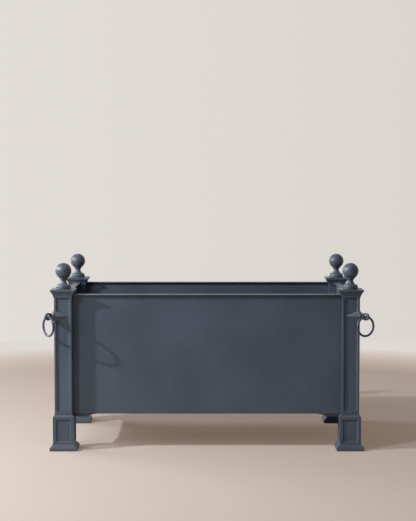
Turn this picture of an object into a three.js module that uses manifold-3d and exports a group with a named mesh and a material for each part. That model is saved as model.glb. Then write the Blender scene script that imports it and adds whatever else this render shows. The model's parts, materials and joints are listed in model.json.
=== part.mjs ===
// Long garden planter on four cast corner posts: recessed posts with moulded caps and ball
// finials, sheet panels held in the posts, a floor on angle rails, and a hanging ring on an
// eye at each outer corner. Millimetres. X runs along the planter, the front faces -Y, Z is up.
import * as THREE from 'three';
import { mergeVertices } from 'three/addons/utils/BufferGeometryUtils.js';
import { ConvexGeometry } from 'three/addons/geometries/ConvexGeometry.js';
import Module from 'manifold-3d';

const wasm = await Module();
wasm.setup();

// ---- Driving dimensions ----

// Plan of the posts, centre to centre
const postSpacingX = 837;
const postSpacingY = 428;

// Fits
const seatGap = 0.3;          // between faces that bear on each other
const slideGap = 0.5;         // between a sheet and the slot or corner that takes it
const boreGap = 0.5;          // between a rod or stud and its hole
const cutThrough = 1;         // how far a cutter runs past the face it opens

// Foot: a flared sole under a square plinth block with sunk faces
const soleWidth = 80;
const soleLip = 5;
const ovoloHeight = 7;        // rounded shoulder of the sole
const ovoloReach = 4;
const filletHeight = 2;       // narrow square step over the shoulder
const coveHeight = 7;         // hollow that runs from the step up to the plinth
const plinthWidth = 62;
const footHeight = 104;
const ledgeDrop = 5;          // fall of the sloped ledge round the foot of the shaft
const ledgeInset = 4;
const footRecessWidth = 49;
const footRecessBottom = 25;
const footRecessTop = 91.5;
const footRecessBevel = 4;
const footPocketMouth = 46;   // hollow under the sole
const footPocketRoof = 38;
const footPocketHeight = 74;
const spigotHeight = 8;       // block that centres foot and cap in the hollow shaft

// Shaft: a hollow square column
const shaftWidth = 51;
const shaftHollow = 35;
const shaftTop = 447.7;
const shaftRecessWidth = 39;
const shaftRecessBottom = 113.5;
const shaftRecessSill = 6;    // slope at the bottom of the sunk face
const shaftRecessTopBorder = 1;
const shaftRecessBevel = 3.5;
const recessDepth = 3;
const grooveDepth = 6;        // slot for the end of a panel

// Cap: a short neck, a shallow hollow moulding and a flat slab
const capNeckWidth = 54;
const capNeckHeight = 2;
const capHollowHeight = 16.5;
const capHollowSweep = 30;    // turn of the hollow from foot to lip, in degrees
const capWidth = 71;
const capEdgeHeight = 5;

// Ball finial, turned: two beads, a shoulder, a waist and the ball
const ballRadius = 23.4;
const ballRise = 53;          // centre of the ball over the cap's top
const beadRadius = 22.6;
const beadHeight = 3.6;       // of each of the two beads at the bottom
const shoulderRadius = 21.2;
const shoulderTopRadius = 15.6;
const shoulderHeight = 6.4;
const stemRadius = 13.6;      // where the waist springs from the shoulder
const waistRadius = 8.2;
const waistRise = 24;         // middle of the waist over the finial's foot
const waistBand = 1.4;
const waistSweep = 24;        // turn of the hollows under and over the waist, in degrees
const taperReach = 13.4;      // radius at which the waist meets the ball
const finialBoreDepth = 18;

// Tie rod that clamps foot, shaft, cap and finial together, and its nut under the foot
const rodRadius = 4;
const rodTail = 12;           // length of rod below the web it passes
const nutAcrossFlats = 13;
const nutHeight = 6.5;

// Panels
const panelThickness = 5;
const panelTop = 453;

// Flat bar along the top of each panel
const topBarWidth = 20;
const topBarThickness = 3;

// Angle rail behind the foot of each panel, with an arched lower edge
const railThickness = 4;
const railLegWidth = 22;
const railEndDrop = 9;        // how far its ends hang below the foot's top
const railEndBlock = 45;      // straight end beside the post
const railArchRise = 10;
const railArchRun = 55;
const railHeight = 20;        // from the foot's top to the top of the rail

// Floor
const floorThickness = 3;
const drainRadius = 7;
const drainPitchX = 150;
const drainPitchY = 170;
const drainCountX = 5;
const drainCountY = 2;
const stiffenerWidth = 40;
const stiffenerHeight = 12;
const stiffenerWall = 2.5;

// Ring boss: a four-sided boss set over the post's outer corner, with an eye
const bossDrop = 53.2;        // of the eye's centre below the shaft's top
const bossHalfHeight = 17;
const bossReachOnFace = 42;
const bossProjection = 6;
const bossEndHalf = 9;        // half height and half width of its outer end
const eyeReach = 21;          // of the eye's centre from the post's corner
const eyeHoleRadius = 4.7;    // of the hole, up and down
const eyeRimWidth = 6.5;
const eyeStretch = 1.25;      // length of the eye to its height
const eyeThickness = 8.6;
const bossNeckRadius = 5.5;
const bossBeadRadius = 10;    // bead between boss and eye
const bossBeadWidth = 4;
const studRadius = 4;
const studTail = 6;           // length of the stud inside the shaft

// Hanging ring
const ringRadius = 27.7;      // of the bar's centre line
const ringBarRadius = 3.25;
const ringSeatGap = 0.7;      // under the bar, where it lies in the eye
const ringTurns = [7, 16];    // clockwise turn of each ring in its loose eye, in degrees

// Facets
const rodSides = 12;
const holeSides = 16;
const finialSides = 20;
const eyeSides = 20;
const eyeRimSides = 8;
const ringSides = 10;
const ringSteps = 32;
const ballSteps = 10;
const curveSteps = 6;
const smallCurveSteps = 4;

// ---- Values worked out from them ----

const shaftHalf = shaftWidth / 2;
const shaftBottom = footHeight + seatGap;
const capBottom = shaftTop + seatGap;
const capNeckTop = capBottom + capNeckHeight;
const capHollowTop = capNeckTop + capHollowHeight;
const capTop = capHollowTop + capEdgeHeight;
const finialBottom = capTop + seatGap;
const panelBottom = footHeight + seatGap;
const panelEnd = shaftHalf - grooveDepth + slideGap;
const barEnd = shaftHalf + seatGap;
const barBottom = panelTop + seatGap;
const barTop = barBottom + topBarThickness;
const stiffenerPlace = 1.5 * drainPitchX;
const railTop = footHeight + railHeight;
const railOffset = panelThickness / 2 + seatGap;
const floorBottom = railTop + seatGap;
const bossHeight = shaftTop - bossDrop;
const cornerReach = shaftHalf * Math.SQRT2;
const pivotReach = cornerReach + eyeReach;
const pivotHeight = bossHeight - eyeHoleRadius + ringBarRadius + ringSeatGap;
const outwardTurn = (5 * Math.PI) / 4;
const quarterTurn = Math.PI / 2;

// ---- Materials ----

function paint(colour, roughness, metalness) {
  return new THREE.MeshStandardMaterial({ color: colour, roughness, metalness });
}

const castPaint = paint(0x4c545b, 0.5, 0.2);
const sheetPaint = paint(0x4a5259, 0.55, 0.2);
const ringPaint = paint(0x474e55, 0.45, 0.3);
const zincSteel = paint(0x8d9092, 0.4, 0.9);

// ---- Helpers ----

// A closed solid for joining and cutting, from a geometry's positions alone
function toSolid(geometry) {
  const bare = geometry.clone();
  bare.deleteAttribute('normal');
  bare.deleteAttribute('uv');
  const merged = mergeVertices(bare, 1e-4);
  const corners = merged.index.array;
  const kept = [];
  for (let i = 0; i < corners.length; i += 3) {
    const [a, b, c] = corners.slice(i, i + 3);
    if (a !== b && b !== c && c !== a) {
      kept.push(a, b, c);
    }
  }
  const vertProperties = new Float32Array(merged.attributes.position.array);
  const triVerts = new Uint32Array(kept);
  return new wasm.Manifold(new wasm.Mesh({ numProp: 3, vertProperties, triVerts }));
}

function toGeometry(solid) {
  const mesh = solid.getMesh();
  const geometry = new THREE.BufferGeometry();
  geometry.setAttribute('position', new THREE.BufferAttribute(mesh.vertProperties, 3));
  geometry.setIndex(new THREE.BufferAttribute(mesh.triVerts, 1));
  geometry.computeVertexNormals();
  return geometry;
}

function piece(name, solid, material) {
  const mesh = new THREE.Mesh(toGeometry(solid), material);
  mesh.name = name;
  return mesh;
}

// A box between two corners
function block(low, high) {
  const size = high.map((value, i) => value - low[i]);
  const middle = high.map((value, i) => (value + low[i]) / 2);
  const geometry = new THREE.BoxGeometry(...size);
  geometry.translate(...middle);
  return toSolid(geometry);
}

// A profile of [reach, height] points turned about Z
function turned(profile, sides) {
  const points = profile.map(([x, z]) => new THREE.Vector2(x, z));
  const geometry = new THREE.LatheGeometry(points, sides);
  geometry.rotateX(quarterTurn);
  return toSolid(geometry);
}

// A profile of [half width, height] points run round a square with mitred corners
function mitred(profile) {
  const points = profile.map(([x, z]) => new THREE.Vector2(x * Math.SQRT2, z));
  const geometry = new THREE.LatheGeometry(points, 4, Math.PI / 4);
  geometry.rotateX(quarterTurn);
  return toSolid(geometry);
}

// A round bar or cutter along Z
function bar(radius, low, high, sides) {
  return turned([[0, low], [radius, low], [radius, high], [0, high]], sides);
}

// Points on a stretch of an ellipse, from one angle to another in degrees
function arc(centre, reach, rise, from, to, steps) {
  const points = [];
  for (let i = 0; i <= steps; i += 1) {
    const angle = THREE.MathUtils.degToRad(from + ((to - from) * i) / steps);
    points.push([centre[0] + reach * Math.cos(angle), centre[1] + rise * Math.sin(angle)]);
  }
  return points;
}

// A hollow of a profile, rising from one point to another and turning through an angle
function hollowBetween(from, to, sweep, steps) {
  const [run, rise] = [to[0] - from[0], to[1] - from[1]];
  const radius = Math.hypot(run, rise) / 2 / Math.sin(THREE.MathUtils.degToRad(sweep / 2));
  const heading = Math.atan2(rise, run) + THREE.MathUtils.degToRad(sweep / 2);
  const centre = [from[0] + radius * Math.sin(heading), from[1] - radius * Math.cos(heading)];
  const start = THREE.MathUtils.radToDeg(heading) + 90;
  return arc(centre, radius, radius, start, start - sweep, steps);
}

// A flat outline of [x, y] points, with round holes, given a thickness along Z
function plate(outline, thickness, holes = []) {
  const shape = new THREE.Shape(outline.map(([x, y]) => new THREE.Vector2(x, y)));
  for (const [x, y, radius] of holes) {
    const hole = new THREE.Path();
    hole.absarc(x, y, radius, 0, 2 * Math.PI, true);
    shape.holes.push(hole);
  }
  const options = { depth: thickness, bevelEnabled: false, curveSegments: holeSides / 2 };
  return new THREE.ExtrudeGeometry(shape, options);
}

// A cutter for a sunk panel with sloped sides, and a sill of its own slope, in the face at -Y
function recessCutter(face, width, low, high, bevel, sill = bevel) {
  const points = [];
  for (const depth of [recessDepth, -cutThrough]) {
    const y = -(face - depth);
    const inset = (bevel * depth) / recessDepth;
    const rise = (sill * depth) / recessDepth;
    for (const side of [-1, 1]) {
      const x = side * (width / 2 - inset);
      points.push(new THREE.Vector3(x, y, low + rise));
      points.push(new THREE.Vector3(x, y, high - inset));
    }
  }
  return toSolid(new ConvexGeometry(points));
}

function turnedAboutZ(solid, angle) {
  return solid.rotate([0, 0, THREE.MathUtils.radToDeg(angle)]);
}

// ---- The corner post, built about its own axis with its outer faces at -X and -Y ----

function makeFoot() {
  const sole = soleWidth / 2;
  const plinth = plinthWidth / 2;
  const shoulder = sole - ovoloReach;
  const filletTop = soleLip + ovoloHeight + filletHeight;
  const ovolo = arc([shoulder, soleLip], ovoloReach, ovoloHeight, 0, 90, smallCurveSteps);
  const coveCentre = [shoulder, filletTop + coveHeight];
  const cove = arc(coveCentre, shoulder - plinth, coveHeight, 270, 180, smallCurveSteps);
  const outside = mitred([
    [0, 0],
    [sole, 0],
    ...ovolo,
    ...cove,
    [plinth, footHeight - ledgeDrop],
    [plinth - ledgeInset, footHeight],
    [0, footHeight],
  ]);
  const spigot = shaftHollow / 2 - seatGap;
  const spigotTop = footHeight + spigotHeight;
  const pocket = mitred([
    [0, -cutThrough],
    [footPocketMouth / 2, -cutThrough],
    [footPocketRoof / 2, footPocketHeight],
    [0, footPocketHeight],
  ]);
  const spigotBlock = block([-spigot, -spigot, footHeight - spigotHeight], [spigot, spigot, spigotTop]);
  let foot = outside.add(spigotBlock).subtract(pocket);
  foot = foot.subtract(bar(rodRadius + boreGap, 0, spigotTop + cutThrough, rodSides));
  for (let face = 0; face < 4; face += 1) {
    const recess = recessCutter(
      plinth, footRecessWidth, footRecessBottom, footRecessTop, footRecessBevel,
    );
    foot = foot.subtract(turnedAboutZ(recess, face * quarterTurn));
  }
  return foot;
}

// The shaft, or the same shaft grown by a gap for cutting what sits on it
function makeShaft(grow = 0) {
  const half = shaftHalf + grow;
  const hollow = shaftHollow / 2;
  const grooveHalf = panelThickness / 2 + slideGap;
  const grooveFloor = shaftHalf - grooveDepth;
  let shaft = block([-half, -half, shaftBottom], [half, half, shaftTop]);
  for (const turn of [0, -quarterTurn]) {
    const width = shaftRecessWidth - 2 * grow;
    const low = shaftRecessBottom + grow;
    const high = shaftTop - shaftRecessTopBorder - grow;
    const recess = recessCutter(half, width, low, high, shaftRecessBevel, shaftRecessSill);
    shaft = shaft.subtract(turnedAboutZ(recess, turn));
  }
  if (grow > 0) {
    return shaft;
  }
  const low = shaftBottom - cutThrough;
  const high = shaftTop + cutThrough;
  shaft = shaft.subtract(block([-hollow, -hollow, low], [hollow, hollow, high]));
  for (const turn of [0, quarterTurn]) {
    const groove = block([grooveFloor, -grooveHalf, low], [half + cutThrough, grooveHalf, high]);
    shaft = shaft.subtract(turnedAboutZ(groove, turn));
  }
  return shaft.subtract(studCutter());
}

function makeCap() {
  const neck = capNeckWidth / 2;
  const edge = capWidth / 2;
  const lip = [edge, capHollowTop];
  const outside = mitred([
    [0, capBottom],
    [neck, capBottom],
    ...hollowBetween([neck, capNeckTop], lip, capHollowSweep, curveSteps),
    [edge, capTop],
    [0, capTop],
  ]);
  const spigot = shaftHollow / 2 - seatGap;
  const spigotBottom = capBottom - spigotHeight;
  const spigotTop = capBottom + spigotHeight;
  const spigotBlock = block([-spigot, -spigot, spigotBottom], [spigot, spigot, spigotTop]);
  const bore = bar(rodRadius + boreGap, spigotBottom - cutThrough, capTop + cutThrough, rodSides);
  let cap = outside.add(spigotBlock).subtract(bore);
  const panelSide = panelThickness / 2 + slideGap;
  const barSide = topBarWidth / 2 + seatGap;
  for (const turn of [0, quarterTurn]) {
    const panelNotch = block(
      [shaftHalf - grooveDepth, -panelSide, capBottom - cutThrough],
      [edge, panelSide, barBottom],
    );
    const barNotch = block([barEnd - seatGap, -barSide, panelTop], [edge, barSide, barTop + seatGap]);
    cap = cap.subtract(turnedAboutZ(panelNotch.add(barNotch), turn));
  }
  return cap;
}

// A half-round bead of a turned profile, its greatest radius given
function bead(radius, low, height) {
  const half = height / 2;
  return arc([radius - half, low + half], half, half, -90, 90, smallCurveSteps);
}

function makeFinial() {
  const ballCentre = capTop + ballRise;
  const shoulderBottom = finialBottom + 2 * beadHeight;
  const shoulderTop = shoulderBottom + shoulderHeight;
  const shoulderCentre = [shoulderTopRadius, shoulderBottom];
  const shoulderReach = shoulderRadius - shoulderTopRadius;
  const shoulder = arc(shoulderCentre, shoulderReach, shoulderHeight, 0, 90, smallCurveSteps);
  const stem = [stemRadius, shoulderTop];
  const waistLow = [waistRadius, finialBottom + waistRise - waistBand / 2];
  const waistHigh = [waistRadius, finialBottom + waistRise + waistBand / 2];
  const ballFoot = -Math.acos(taperReach / ballRadius);
  const taperTop = [taperReach, ballCentre + ballRadius * Math.sin(ballFoot)];
  const startAngle = THREE.MathUtils.radToDeg(ballFoot);
  const ball = arc([0, ballCentre], ballRadius, ballRadius, startAngle, 90, ballSteps);
  const outside = turned(
    [
      [0, finialBottom],
      ...bead(beadRadius, finialBottom, beadHeight),
      ...bead(beadRadius, finialBottom + beadHeight, beadHeight).slice(1),
      ...shoulder,
      ...hollowBetween(stem, waistLow, waistSweep, smallCurveSteps),
      ...hollowBetween(waistHigh, taperTop, waistSweep, smallCurveSteps),
      ...ball.slice(1, -1),
      [0, ballCentre + ballRadius],
    ],
    finialSides,
  );
  const boreTop = finialBottom + finialBoreDepth;
  return outside.subtract(bar(rodRadius + boreGap, finialBottom - cutThrough, boreTop, rodSides));
}

function makeTieRod() {
  const top = finialBottom + finialBoreDepth - seatGap;
  return bar(rodRadius, footPocketHeight - nutHeight - rodTail, top, rodSides);
}

function makeNut() {
  const cornerRadius = nutAcrossFlats / 2 / Math.cos(Math.PI / 6);
  const top = footPocketHeight - seatGap;
  const hexagon = bar(cornerRadius, top - nutHeight, top, 6);
  const bore = bar(rodRadius + seatGap, top - nutHeight - cutThrough, top + cutThrough, rodSides);
  return hexagon.subtract(bore);
}

// ---- The ring boss and its ring, at the post's outer corner ----

// A profile of [radius, reach] points turned about the outward diagonal at the eye's height
function turnedAboutDiagonal(profile) {
  const upright = turned(profile, rodSides);
  const lying = upright.rotate([0, 90, 0]).translate([0, 0, bossHeight]);
  return turnedAboutZ(lying, outwardTurn);
}

// A round bar from one reach to another along the outward diagonal
function diagonalBar(radius, from, to) {
  return turnedAboutDiagonal([[0, from], [radius, from], [radius, to], [0, to]]);
}

function studCutter() {
  const inner = shaftHollow / 2;
  return diagonalBar(studRadius + boreGap, inner, cornerReach + cutThrough);
}

// The eye: a stretched, rounded link standing upright in the plane of the diagonal
function makeEye() {
  const rimCentre = eyeHoleRadius + eyeRimWidth / 2;
  const rim = arc([rimCentre, 0], eyeRimWidth / 2, eyeThickness / 2, -90, 270, eyeRimSides);
  rim.pop();
  rim.push(rim[0]);
  const upright = turned(rim, eyeSides).rotate([90, 0, 0]).scale([eyeStretch, 1, 1]);
  return turnedAboutZ(upright.translate([pivotReach, 0, bossHeight]), outwardTurn);
}

function makeBoss() {
  const corner = -shaftHalf;
  const sunk = -(shaftHalf - recessDepth);
  const side = corner + bossReachOnFace;
  const end = -(cornerReach + bossProjection) / Math.SQRT2;
  const endSide = bossEndHalf / Math.SQRT2;
  const pyramid = toSolid(new ConvexGeometry([
    new THREE.Vector3(end, end, bossHeight + bossEndHalf),
    new THREE.Vector3(end, end, bossHeight - bossEndHalf),
    new THREE.Vector3(end + endSide, end - endSide, bossHeight),
    new THREE.Vector3(end - endSide, end + endSide, bossHeight),
    new THREE.Vector3(corner, corner, bossHeight + bossHalfHeight),
    new THREE.Vector3(corner, corner, bossHeight - bossHalfHeight),
    new THREE.Vector3(side, sunk, bossHeight),
    new THREE.Vector3(sunk, side, bossHeight),
    new THREE.Vector3(0, 0, bossHeight),
  ]));
  const beadHalf = bossBeadWidth / 2;
  const beadCentre = [bossNeckRadius, cornerReach + bossProjection + beadHalf];
  const rounding = arc(
    beadCentre, bossBeadRadius - bossNeckRadius, beadHalf, -90, 90, smallCurveSteps,
  );
  const neckEnd = pivotReach - (eyeHoleRadius + eyeRimWidth / 2) * eyeStretch;
  const neck = turnedAboutDiagonal([
    [0, cornerReach + seatGap],
    [bossNeckRadius, cornerReach + seatGap],
    ...rounding,
    [bossNeckRadius, neckEnd],
    [0, neckEnd],
  ]);
  const stud = diagonalBar(studRadius, shaftHollow / Math.SQRT2 - studTail, neckEnd);
  return pyramid.subtract(makeShaft(seatGap)).add(neck).add(stud).add(makeEye());
}

// The ring about the top of its bar, hanging in the plane of Y and Z
function makeRing() {
  const geometry = new THREE.TorusGeometry(ringRadius, ringBarRadius, ringSides, ringSteps);
  geometry.rotateY(quarterTurn);
  geometry.translate(0, 0, -ringRadius);
  return toSolid(geometry);
}

function hungRing(name, turn) {
  const ring = piece(name, makeRing(), ringPaint);
  const reach = -pivotReach / Math.SQRT2;
  ring.position.set(reach, reach, pivotHeight);
  ring.rotation.z = outwardTurn - THREE.MathUtils.degToRad(turn);
  return ring;
}

// ---- The box between the posts, each part built along X and turned for the ends ----

function makePanel(spacing) {
  const end = spacing / 2 - panelEnd;
  const half = panelThickness / 2;
  return block([-end, -half, panelBottom], [end, half, panelTop]);
}

function makeTopBar(spacing) {
  const end = spacing / 2 - barEnd;
  const half = topBarWidth / 2;
  return block([-end, -half, barBottom], [end, half, barTop]);
}

// One half of the rail's arched lower edge, from the post inwards, as [distance, height]
function railArch(spacing) {
  const shoulder = spacing / 2 - plinthWidth / 2 - seatGap;
  const archStart = spacing / 2 - shaftHalf - railEndBlock;
  const bottom = footHeight - railEndDrop;
  const rise = arc([archStart - railArchRun, bottom], railArchRun, railArchRise, 0, 90, curveSteps);
  return [[shoulder, panelBottom], [shoulder, bottom], ...rise];
}

function makeBottomRail(spacing) {
  const end = spacing / 2 - barEnd;
  const right = [[end, railTop], [end, panelBottom], ...railArch(spacing)];
  const left = right.map(([x, z]) => [-x, z]).reverse();
  const web = plate([...left, ...right].reverse(), railThickness);
  web.rotateX(quarterTurn);
  web.translate(0, railOffset + railThickness, 0);
  const leg = block([-end, railOffset, railTop - railThickness], [end, railOffset + railLegWidth, railTop]);
  return toSolid(web).add(leg);
}

function makeFloor() {
  const long = postSpacingX / 2 - panelThickness / 2 - slideGap;
  const wide = postSpacingY / 2 - panelThickness / 2 - slideGap;
  const notchX = postSpacingX / 2 - shaftHalf - slideGap;
  const notchY = postSpacingY / 2 - shaftHalf - slideGap;
  const quadrant = [[long, notchY], [notchX, notchY], [notchX, wide]];
  const upper = [...quadrant, ...quadrant.map(([x, y]) => [-x, y]).reverse()];
  const lower = upper.map(([x, y]) => [-x, -y]);
  const drains = [];
  for (let i = 0; i < drainCountX; i += 1) {
    for (let j = 0; j < drainCountY; j += 1) {
      const x = (i - (drainCountX - 1) / 2) * drainPitchX;
      const y = (j - (drainCountY - 1) / 2) * drainPitchY;
      drains.push([x, y, drainRadius]);
    }
  }
  const sheet = plate([...upper, ...lower], floorThickness, drains);
  sheet.translate(0, 0, floorBottom);
  return toSolid(sheet);
}

// A channel under the floor, open below, between the legs of the long rails
function makeStiffener() {
  const half = stiffenerWidth / 2;
  const inside = half - stiffenerWall;
  const top = floorBottom - seatGap;
  const low = top - stiffenerHeight;
  const end = postSpacingY / 2 - railOffset - railLegWidth - seatGap;
  const outside = block([-half, -end, low], [half, end, top]);
  const channel = block(
    [-inside, -end - cutThrough, low - cutThrough],
    [inside, end + cutThrough, top - stiffenerWall],
  );
  return outside.subtract(channel);
}

// ---- Assembly ----

function makeCorner(name, turnIndex, signX, signY) {
  const corner = new THREE.Group();
  corner.position.set((signX * postSpacingX) / 2, (signY * postSpacingY) / 2, 0);
  corner.rotation.z = turnIndex * quarterTurn;
  corner.add(piece(`${name}_foot`, makeFoot(), castPaint));
  corner.add(piece(`${name}_shaft`, makeShaft(), castPaint));
  corner.add(piece(`${name}_cap`, makeCap(), castPaint));
  corner.add(piece(`${name}_finial`, makeFinial(), castPaint));
  corner.add(piece(`${name}_tie_rod`, makeTieRod(), zincSteel));
  corner.add(piece(`${name}_tie_nut`, makeNut(), zincSteel));
  corner.add(piece(`${name}_ring_boss`, makeBoss(), castPaint));
  corner.add(hungRing(`${name}_ring`, ringTurns[turnIndex % 2]));
  return corner;
}

// The panel, bars and rail of one side, with the rail on the inner side of the panel
function makeSide(name, turnIndex, spacing, offset) {
  const side = new THREE.Group();
  side.rotation.z = turnIndex * quarterTurn;
  const row = new THREE.Group();
  row.position.y = -offset;
  row.add(piece(`${name}_panel`, makePanel(spacing), sheetPaint));
  row.add(piece(`${name}_top_bar`, makeTopBar(spacing), castPaint));
  row.add(piece(`${name}_bottom_rail`, makeBottomRail(spacing), sheetPaint));
  side.add(row);
  return side;
}

const planter = new THREE.Group();
planter.add(makeCorner('front_left', 0, -1, -1));
planter.add(makeCorner('front_right', 1, 1, -1));
planter.add(makeCorner('rear_right', 2, 1, 1));
planter.add(makeCorner('rear_left', 3, -1, 1));
planter.add(makeSide('front', 0, postSpacingX, postSpacingY / 2));
planter.add(makeSide('right', 1, postSpacingY, postSpacingX / 2));
planter.add(makeSide('rear', 2, postSpacingX, postSpacingY / 2));
planter.add(makeSide('left', 3, postSpacingY, postSpacingX / 2));
planter.add(piece('floor', makeFloor(), sheetPaint));
for (const [name, side] of [['left', -1], ['right', 1]]) {
  const stiffener = piece(`floor_stiffener_${name}`, makeStiffener(), sheetPaint);
  stiffener.position.x = side * stiffenerPlace;
  planter.add(stiffener);
}

export default planter;
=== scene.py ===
# %% [markdown]
# # A long garden planter on four cast corner posts
#
# The planter is painted satin slate grey. Each corner is a square cast post: a flared foot with
# a plinth block, a shaft with sunk faces, a moulded cap and a turned ball finial. Sheet panels
# span the posts, a flat bar lies along the top of each panel, and a ring hangs from an eye on
# the outer corner of every post.
#
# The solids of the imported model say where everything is. This lesson loads them, makes a finer
# piece over each one that shows, and gives every piece its paint or plating.

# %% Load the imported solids
import json
import math

import bmesh
import bpy
from mathutils import Matrix, Vector


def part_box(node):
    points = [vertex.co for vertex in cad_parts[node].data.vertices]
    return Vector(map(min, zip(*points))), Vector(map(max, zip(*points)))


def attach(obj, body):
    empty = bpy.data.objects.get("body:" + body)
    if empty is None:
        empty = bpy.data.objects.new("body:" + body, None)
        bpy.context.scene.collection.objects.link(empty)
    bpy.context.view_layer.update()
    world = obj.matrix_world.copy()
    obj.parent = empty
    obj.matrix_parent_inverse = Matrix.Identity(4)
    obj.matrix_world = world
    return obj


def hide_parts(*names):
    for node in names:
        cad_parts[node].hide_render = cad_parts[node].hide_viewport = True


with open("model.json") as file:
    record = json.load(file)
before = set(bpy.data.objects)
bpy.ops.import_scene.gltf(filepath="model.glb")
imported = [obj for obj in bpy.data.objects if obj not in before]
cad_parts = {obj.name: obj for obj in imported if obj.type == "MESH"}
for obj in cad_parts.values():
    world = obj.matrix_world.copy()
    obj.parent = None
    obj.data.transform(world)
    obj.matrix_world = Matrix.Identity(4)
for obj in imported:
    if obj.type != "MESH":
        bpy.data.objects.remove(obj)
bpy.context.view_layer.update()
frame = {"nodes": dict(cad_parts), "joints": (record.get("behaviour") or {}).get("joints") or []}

# %% [markdown]
# ## Places and sizes
#
# Sizes are written in millimetres, as a maker would, and turned into metres once. The four
# corners are one casting, turned by a quarter from post to post, so each piece is made a single
# time about the post's own axis and then put in its four places.

# %% Corners, sides and the millimetre
MM = 0.001
QUARTER = math.pi / 2
CORNERS = ["front_left", "front_right", "rear_right", "rear_left"]
SIDES = ["front", "right", "rear", "left"]


def corner_place(corner):
    low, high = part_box(f"{corner}_shaft")
    axis = (low + high) / 2
    turn = Matrix.Rotation(CORNERS.index(corner) * QUARTER, 4, "Z")
    return Matrix.Translation((axis.x, axis.y, 0)) @ turn


def box_mm(node):
    low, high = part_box(node)
    return Vector(low) / MM, Vector(high) / MM


for corner in CORNERS:
    at = corner_place(corner).translation / MM
    print(f"{corner} post stands at {at.x:.1f}, {at.y:.1f} mm")

# %% Heights and widths that the solids give
GAP = 0.3


def half_width(node):
    low, high = box_mm(node)
    return (high.x - low.x) / 2


SHAFT_HALF = half_width("front_left_shaft")
SOLE_HALF = half_width("front_left_foot")
CAP_HALF = half_width("front_left_cap")
SHAFT_LOW, SHAFT_TOP = (corner.z for corner in box_mm("front_left_shaft"))
FINIAL_LOW, FINIAL_TOP = (corner.z for corner in box_mm("front_left_finial"))
FOOT_TOP = SHAFT_LOW - GAP
CAP_LOW = SHAFT_TOP + GAP
CAP_TOP = box_mm("front_left_cap")[1].z
PANEL_TOP = box_mm("front_panel")[1].z
BAR_TOP = box_mm("front_top_bar")[1].z
print(f"shaft {2 * SHAFT_HALF:.1f} mm square, from {SHAFT_LOW:.1f} to {SHAFT_TOP:.1f} mm")

# %% [markdown]
# ## Camera
#
# The picture was taken from a little above the rim, far back, with a long lens. The camera
# stands in front of the planter's middle and looks down by about four degrees. The lens follows
# from how fast the rear row shrinks against the front row.

# %% Camera
LENS_MM = 91.0
CAMERA_PLACE = (0.003, -4.042, 0.815)
CAMERA_PITCH = math.radians(90 - 3.89)

lens = bpy.data.cameras.new("camera")
lens.lens = LENS_MM
lens.sensor_width = 36
camera = bpy.data.objects.new("camera", lens)
camera.location = CAMERA_PLACE
camera.rotation_euler = (CAMERA_PITCH, 0, 0)
bpy.context.scene.collection.objects.link(camera)
bpy.context.scene.camera = camera
bpy.context.scene.view_settings.view_transform = "Standard"
print(f"lens {LENS_MM} mm at {CAMERA_PLACE}")

# %% [markdown]
# ## Nodes that every finish uses
#
# A finish is a small graph of nodes. Three steps come back in all of them: a value is spread from
# one range to another, two values are worked together, and two colours are blended by a share.
# Each step is a short function that adds its node and hands on its output.

# %% Node helpers
def spread(nodes, links, value, low, high, to_low=0.0, to_high=1.0):
    node = nodes.new("ShaderNodeMapRange")
    node.inputs["From Min"].default_value = low
    node.inputs["From Max"].default_value = high
    node.inputs["To Min"].default_value = to_low
    node.inputs["To Max"].default_value = to_high
    links.new(value, node.inputs["Value"])
    return node.outputs[0]


def worked(nodes, links, operation, one, two):
    node = nodes.new("ShaderNodeMath")
    node.operation = operation
    links.new(one, node.inputs[0])
    links.new(two, node.inputs[1])
    return node.outputs[0]


def blend_colour(nodes, links, share, a, b):
    node = nodes.new("ShaderNodeMix")
    node.data_type = "RGBA"
    links.new(share, node.inputs["Factor"])
    for socket, colour in (("A", a), ("B", b)):
        if isinstance(colour, tuple):
            node.inputs[socket].default_value = colour
        else:
            links.new(colour, node.inputs[socket])
    return node.outputs["Result"]


def blend_shader(nodes, links, share, one, two):
    node = nodes.new("ShaderNodeMixShader")
    links.new(share, node.inputs[0])
    links.new(one, node.inputs[1])
    links.new(two, node.inputs[2])
    return node.outputs[0]


print("node helpers: spread, worked, blend_colour and blend_shader")

# %% [markdown]
# ## Floor and light
#
# A pale round floor lies under the planter, and its rim fades into the tone that the camera sees
# all round, so that nothing stands in the way when the planter is looked at from behind. Two
# lamps stand to the left. A small one nearly in line with the front rakes across it and draws
# the ring's shadow on the panel. A tall and narrow one further round to the front gives the
# sharp dark strip beside the post, and no shadow of the ring. A broad lamp a little behind the
# planter puts the bright rims on the balls and on the mouldings that look to the left, and a
# weak one above the front lifts the ledges. The world fills in the rest. The floor takes a part
# of the even tone and keeps its shadow.

# %% Floor
FLOOR_RADIUS = 2.4
FADE_FROM = 1.45
FADE_TO = 2.1
FLOOR_SIDES = 96
# Painted light: the ground is coloured darker on the left and lighter on the right, to even out the
# lamps, which stand mostly to the left.
GROUND_LEFT = (0.412, 0.375, 0.347, 1)
GROUND_RIGHT = (0.508, 0.458, 0.423, 1)
GROUND_HALF = 0.8
# Painted light: the tone seen behind is lighter on the left and darker on the right, as light falls on
# the wall.
SEEN_LEFT = (0.755, 0.72, 0.68, 1)
SEEN_RIGHT = (0.705, 0.665, 0.625, 1)
SEEN_MIDDLE = (0.73, 0.6925, 0.6525, 1)
GROUND_SEEN = (0.72, 0.50, 0.36, 1)
FLOOR_SHARE = 0.24


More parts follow.
